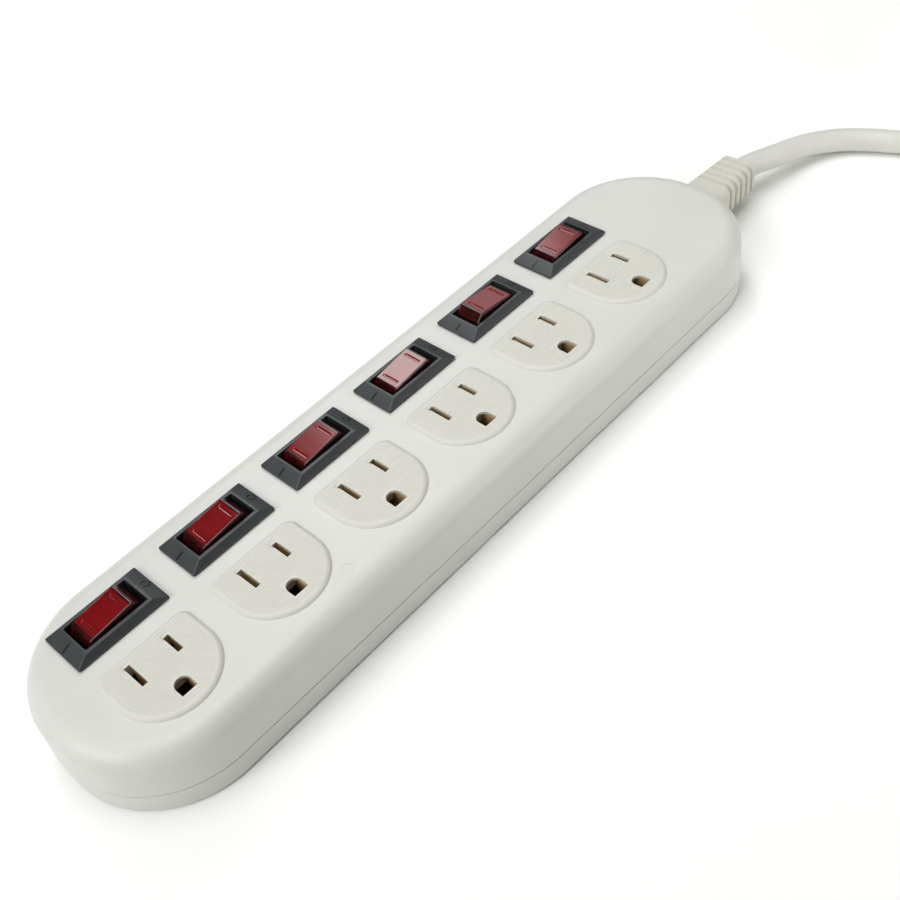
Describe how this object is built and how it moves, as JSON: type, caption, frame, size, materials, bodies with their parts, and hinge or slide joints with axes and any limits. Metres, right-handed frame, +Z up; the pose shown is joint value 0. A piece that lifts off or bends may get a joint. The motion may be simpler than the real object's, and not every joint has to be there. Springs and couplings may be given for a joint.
{
  "type": "power strip",
  "caption": "Rounded off-white power strip with a row of grounded outlets, a lit red rocker switch beside each, and a white mains cord ending in a plug.",
  "frame": {"origin": "centre of the underside of the housing with its strain relief, on the surface that it stands on", "axes": "+X along the strip towards the cord, +Y from the outlets towards the switches, +Z up out of the outlets"},
  "size_m": [0.6173, 0.0991, 0.0298],
  "materials": {
    "case": "fine satin moulded plastic, off-white",
    "face": "fine ribbed moulded plastic, light grey-white",
    "bezel": "satin dark grey plastic",
    "rocker": "clear red plastic, polished",
    "lamp": "small neon lamp glass",
    "contact": "stamped brass",
    "carrier": "grey insulating plastic",
    "screw": "zinc plated steel",
    "cord": "soft PVC jacket, off-white",
    "tie": "black hook and loop strap",
    "prong": "polished brass",
    "line_wire": "black insulation",
    "neutral_wire": "white insulation",
    "ground_wire": "green insulation"
  },
  "bodies": {
    "housing": {"top_cover": "case", "bottom_base": "case", "outlet_face_1": "face", "outlet_face_2": "face", "outlet_face_3": "face", "outlet_face_4": "face", "outlet_face_5": "face", "outlet_face_6": "face", "switch_body_1": "bezel", "switch_body_2": "bezel", "switch_body_3": "bezel", "switch_body_4": "bezel", "switch_body_5": "bezel", "switch_body_6": "bezel", "hot_contact_1": "contact", "hot_contact_2": "contact", "hot_contact_3": "contact", "hot_contact_4": "contact", "hot_contact_5": "contact", "hot_contact_6": "contact", "neutral_bus": "contact", "ground_bus": "contact", "live_bus": "contact", "contact_carrier": "carrier", "case_screw_1": "screw", "case_screw_2": "screw", "case_screw_3": "screw", "case_screw_4": "screw", "case_screw_5": "screw", "case_screw_6": "screw", "line_lead": "line_wire", "neutral_lead": "neutral_wire", "ground_lead": "ground_wire", "strain_relief": "cord", "power_cord_lead": "cord", "cord_hank": "cord", "cord_tie": "tie", "power_cord_tail": "cord", "plug_body": "cord", "plug_blade_line": "prong", "plug_blade_neutral": "prong", "plug_ground_pin": "prong"},
    "rocker_1": {"rocker_1": "rocker", "neon_lamp_1": "lamp"},
    "rocker_2": {"rocker_2": "rocker", "neon_lamp_2": "lamp"},
    "rocker_3": {"rocker_3": "rocker", "neon_lamp_3": "lamp"},
    "rocker_4": {"rocker_4": "rocker", "neon_lamp_4": "lamp"},
    "rocker_5": {"rocker_5": "rocker", "neon_lamp_5": "lamp"},
    "rocker_6": {"rocker_6": "rocker", "neon_lamp_6": "lamp"}
  },
  "joints": [
    {"name": "rocker_1_tilt", "type": "hinge", "parent": "housing", "child": "rocker_1", "pos_m": [-0.12695, 0.0159, 0.0225], "axis": [0, 1, 0], "range_deg": [0, 13]},
    {"name": "rocker_2_tilt", "type": "hinge", "parent": "housing", "child": "rocker_2", "pos_m": [-0.08745, 0.0159, 0.0225], "axis": [0, 1, 0], "range_deg": [0, 13]},
    {"name": "rocker_3_tilt", "type": "hinge", "parent": "housing", "child": "rocker_3", "pos_m": [-0.04795, 0.0159, 0.0225], "axis": [0, 1, 0], "range_deg": [0, 13]},
    {"name": "rocker_4_tilt", "type": "hinge", "parent": "housing", "child": "rocker_4", "pos_m": [-0.00845, 0.0159, 0.0225], "axis": [0, 1, 0], "range_deg": [0, 13]},
    {"name": "rocker_5_tilt", "type": "hinge", "parent": "housing", "child": "rocker_5", "pos_m": [0.03105, 0.0159, 0.0225], "axis": [0, 1, 0], "range_deg": [-13, 0]},
    {"name": "rocker_6_tilt", "type": "hinge", "parent": "housing", "child": "rocker_6", "pos_m": [0.07055, 0.0159, 0.0225], "axis": [0, 1, 0], "range_deg": [0, 13]}
  ]
}
